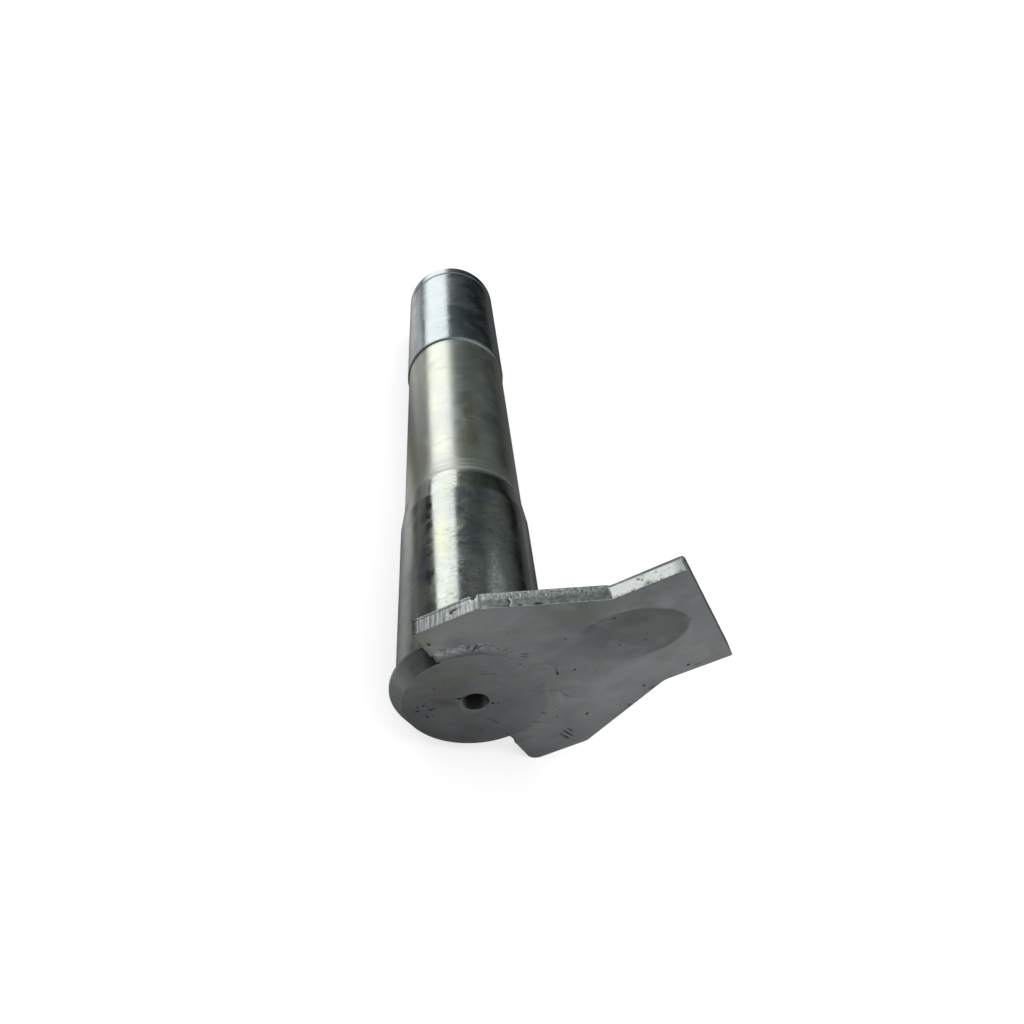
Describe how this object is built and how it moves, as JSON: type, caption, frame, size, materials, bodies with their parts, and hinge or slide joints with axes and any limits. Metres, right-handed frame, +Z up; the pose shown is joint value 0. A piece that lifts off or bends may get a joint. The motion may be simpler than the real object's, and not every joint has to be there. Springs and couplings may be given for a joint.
{
  "type": "plough pin",
  "caption": "Turned, plated pivot pin with a relieved middle, welded to a flag-shaped anti-turn plate at its head; blind hole in the head, ring groove near the tip.",
  "frame": {"origin": "on the pin axis, in the seating plane of the flag plate's rear face", "axes": "+Y along the pin axis towards the free tip, +Z up with the pin lying at rest on its collar, its tip and the lower corner of the plate, +X to the side the plate's tail leans to"},
  "size_m": [0.098, 0.2854, 0.0962],
  "materials": {
    "turned_steel": "bright zinc plate over turned steel",
    "plate_steel": "satin zinc plate over ground plate",
    "weld_steel": "zinc plated weld bead, dressed nearly flush"
  },
  "bodies": {
    "root": {"pin": "turned_steel", "flag_plate": "plate_steel", "weld_bead": "weld_steel"}
  },
  "joints": []
}
